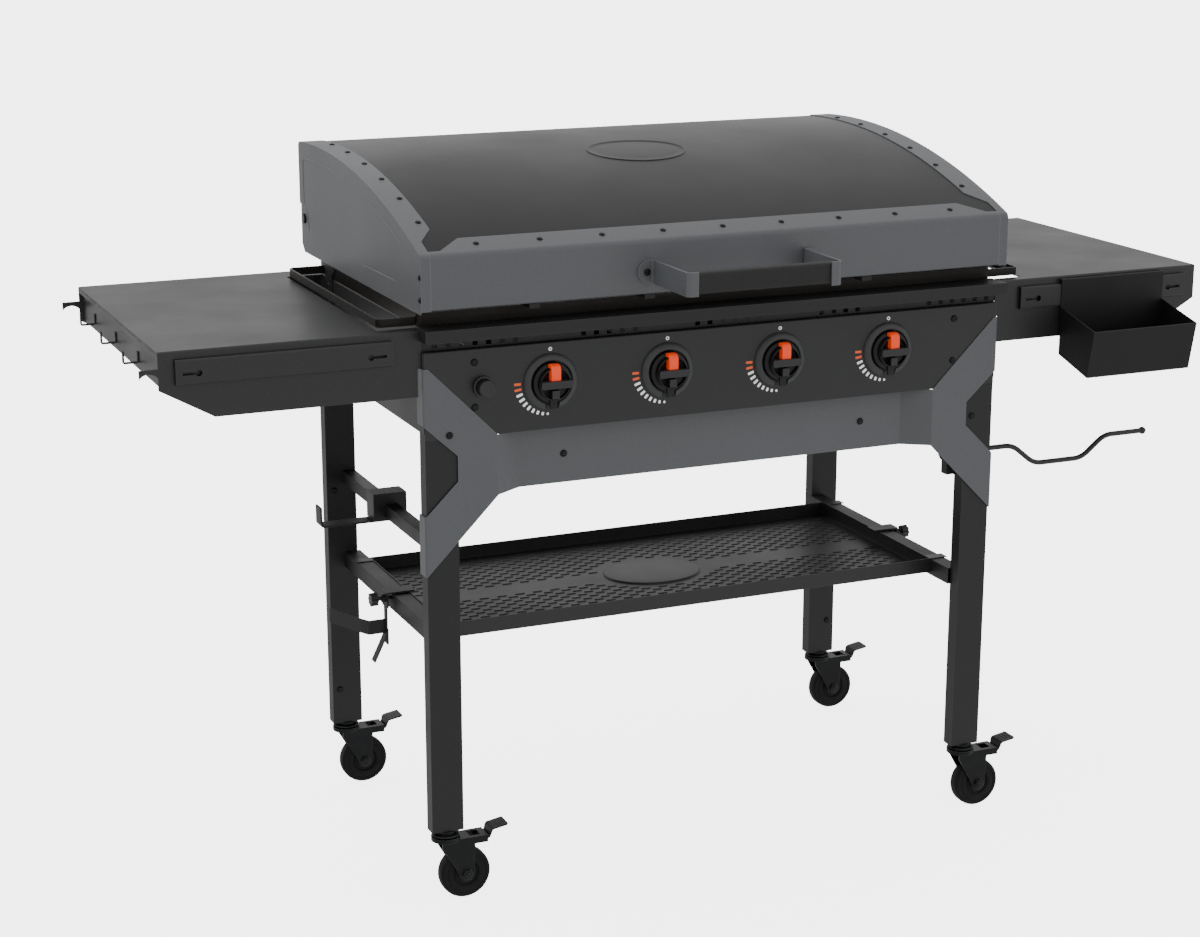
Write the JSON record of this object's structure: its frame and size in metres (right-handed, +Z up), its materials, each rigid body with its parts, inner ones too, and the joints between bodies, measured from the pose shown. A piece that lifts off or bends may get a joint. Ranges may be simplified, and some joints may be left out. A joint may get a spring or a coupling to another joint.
{
  "type": "outdoor gas griddle station",
  "caption": "Four-burner gas griddle on casters with a lifting hood, two side shelves, a hanging bin, a bottom shelf and rail-mounted accessories",
  "frame": {"origin": "centre of the whole part's box in plan, on the floor under the wheels", "axes": "X to the right as the cook sees it, Y to the back, Z up"},
  "size_m": [1.6634, 0.7112, 1.0436],
  "materials": {
    "coat": "fine-textured black powder coat on sheet steel",
    "accent": "smooth grey powder coat on sheet steel",
    "iron": "seasoned rolled griddle steel",
    "steel": "zinc-plated steel fittings",
    "dark_steel": "black-coated fasteners and fittings",
    "plastic": "moulded black plastic",
    "rubber": "dull black rubber",
    "wheel": "moulded black wheel"
  },
  "bodies": {
    "frame": {"leg_front_left": "coat", "leg_front_right": "coat", "leg_rear_left": "coat", "leg_rear_right": "coat", "side_rails": "coat", "front_apron": "accent", "bottom_shelf": "coat", "body_sides": "coat", "body_rear_panel": "coat", "front_rail": "coat", "control_panel": "coat", "knob_bezels": "plastic", "gas_valves": "steel", "gas_manifold": "steel", "inlet_fitting": "steel", "burner_tubes": "steel", "igniter_barrel": "plastic", "griddle_plate": "iron", "griddle_handles": "iron", "shelf_left": "coat", "shelf_right": "coat", "accessory_strips": "coat", "tool_hooks": "dark_steel", "hinge_brackets": "coat", "hinge_pins": "steel", "rail_brackets": "dark_steel", "tank_hook": "dark_steel", "rail_clamps": "dark_steel", "towel_rod": "dark_steel", "frame_bolts": "dark_steel", "caster_stems": "dark_steel"},
    "hood": {"hood_shell": "coat", "hood_side_left": "accent", "hood_side_right": "accent", "hood_front": "accent", "hood_fasteners": "dark_steel", "hood_bumpers": "rubber", "handle_brackets": "accent", "handle_grip": "rubber"},
    "burner_knob_1": {"knob_1": "plastic"},
    "burner_knob_2": {"knob_2": "plastic"},
    "burner_knob_3": {"knob_3": "plastic"},
    "burner_knob_4": {"knob_4": "plastic"},
    "button": {"igniter_button": "plastic"},
    "cup": {"grease_cup": "steel"},
    "bin": {"side_bin": "coat"},
    "clamp_left": {"tank_clamp_knob": "plastic"},
    "clamp_right": {"spare_clamp_knob": "plastic"},
    "fork_fl": {"caster_fork_fl": "dark_steel"},
    "fork_fr": {"caster_fork_fr": "dark_steel"},
    "fork_rl": {"caster_fork_rl": "dark_steel"},
    "fork_rr": {"caster_fork_rr": "dark_steel"},
    "wheel_fl": {"caster_wheel_fl": "wheel"},
    "wheel_fr": {"caster_wheel_fr": "wheel"},
    "wheel_rl": {"caster_wheel_rl": "wheel"},
    "wheel_rr": {"caster_wheel_rr": "wheel"},
    "pedal_fl": {"brake_pedal_fl": "dark_steel"},
    "pedal_fr": {"brake_pedal_fr": "dark_steel"},
    "pedal_rl": {"brake_pedal_rl": "dark_steel"},
    "pedal_rr": {"brake_pedal_rr": "dark_steel"}
  },
  "joints": [
    {"name": "hood_lift", "type": "hinge", "parent": "frame", "child": "hood", "pos_m": [0.0125, 0.3034, 0.922], "axis": [-1, 0, 0], "range_deg": [0, 95]},
    {"name": "knob_1_turn", "type": "hinge", "parent": "frame", "child": "burner_knob_1", "pos_m": [-0.2569, -0.2274, 0.7586], "axis": [0, -1, 0], "range_deg": [0, 180]},
    {"name": "knob_2_turn", "type": "hinge", "parent": "frame", "child": "burner_knob_2", "pos_m": [-0.0773, -0.2274, 0.7586], "axis": [0, -1, 0], "range_deg": [0, 180]},
    {"name": "knob_3_turn", "type": "hinge", "parent": "frame", "child": "burner_knob_3", "pos_m": [0.1023, -0.2274, 0.7586], "axis": [0, -1, 0], "range_deg": [0, 180]},
    {"name": "knob_4_turn", "type": "hinge", "parent": "frame", "child": "burner_knob_4", "pos_m": [0.2819, -0.2274, 0.7586], "axis": [0, -1, 0], "range_deg": [0, 180]},
    {"name": "igniter_push", "type": "slide", "parent": "frame", "child": "button", "axis": [0, 1, 0], "range_m": [0, 0.004], "stiffness_N_per_m": 600},
    {"name": "bin_lift", "type": "slide", "parent": "frame", "child": "bin", "axis": [0, 0, 1], "range_m": [0, 0.02]},
    {"name": "cup_pull", "type": "slide", "parent": "frame", "child": "cup", "axis": [0, 1, 0], "range_m": [0, 0.07]},
    {"name": "clamp_left_turn", "type": "hinge", "parent": "frame", "child": "clamp_left", "pos_m": [-0.4275, 0.0226, 0.3878], "axis": [-1, 0, 0], "continuous": true},
    {"name": "clamp_right_turn", "type": "hinge", "parent": "frame", "child": "clamp_right", "pos_m": [0.4525, 0.0226, 0.3878], "axis": [1, 0, 0], "continuous": true},
    {"name": "swivel_fl", "type": "hinge", "parent": "frame", "child": "fork_fl", "pos_m": [-0.419, -0.2148, 0.095], "axis": [0, 0, 1], "continuous": true},
    {"name": "roll_fl", "type": "hinge", "parent": "fork_fl", "child": "wheel_fl", "pos_m": [-0.392, -0.2148, 0.0382], "axis": [0, 1, 0], "continuous": true},
    {"name": "brake_fl", "type": "hinge", "parent": "fork_fl", "child": "pedal_fl", "pos_m": [-0.367, -0.2148, 0.088], "axis": [0, 1, 0], "range_deg": [0, 10]},
    {"name": "swivel_fr", "type": "hinge", "parent": "frame", "child": "fork_fr", "pos_m": [0.444, -0.2148, 0.095], "axis": [0, 0, 1], "continuous": true},
    {"name": "roll_fr", "type": "hinge", "parent": "fork_fr", "child": "wheel_fr", "pos_m": [0.471, -0.2148, 0.0382], "axis": [0, 1, 0], "continuous": true},
    {"name": "brake_fr", "type": "hinge", "parent": "fork_fr", "child": "pedal_fr", "pos_m": [0.496, -0.2148, 0.088], "axis": [0, 1, 0], "range_deg": [0, 10]},
    {"name": "swivel_rl", "type": "hinge", "parent": "frame", "child": "fork_rl", "pos_m": [-0.419, 0.2624, 0.095], "axis": [0, 0, 1], "continuous": true},
    {"name": "roll_rl", "type": "hinge", "parent": "fork_rl", "child": "wheel_rl", "pos_m": [-0.392, 0.2624, 0.0382], "axis": [0, 1, 0], "continuous": true},
    {"name": "brake_rl", "type": "hinge", "parent": "fork_rl", "child": "pedal_rl", "pos_m": [-0.367, 0.2624, 0.088], "axis": [0, 1, 0], "range_deg": [0, 10]},
    {"name": "swivel_rr", "type": "hinge", "parent": "frame", "child": "fork_rr", "pos_m": [0.444, 0.2624, 0.095], "axis": [0, 0, 1], "continuous": true},
    {"name": "roll_rr", "type": "hinge", "parent": "fork_rr", "child": "wheel_rr", "pos_m": [0.471, 0.2624, 0.0382], "axis": [0, 1, 0], "continuous": true},
    {"name": "brake_rr", "type": "hinge", "parent": "fork_rr", "child": "pedal_rr", "pos_m": [0.496, 0.2624, 0.088], "axis": [0, 1, 0], "range_deg": [0, 10]}
  ]
}
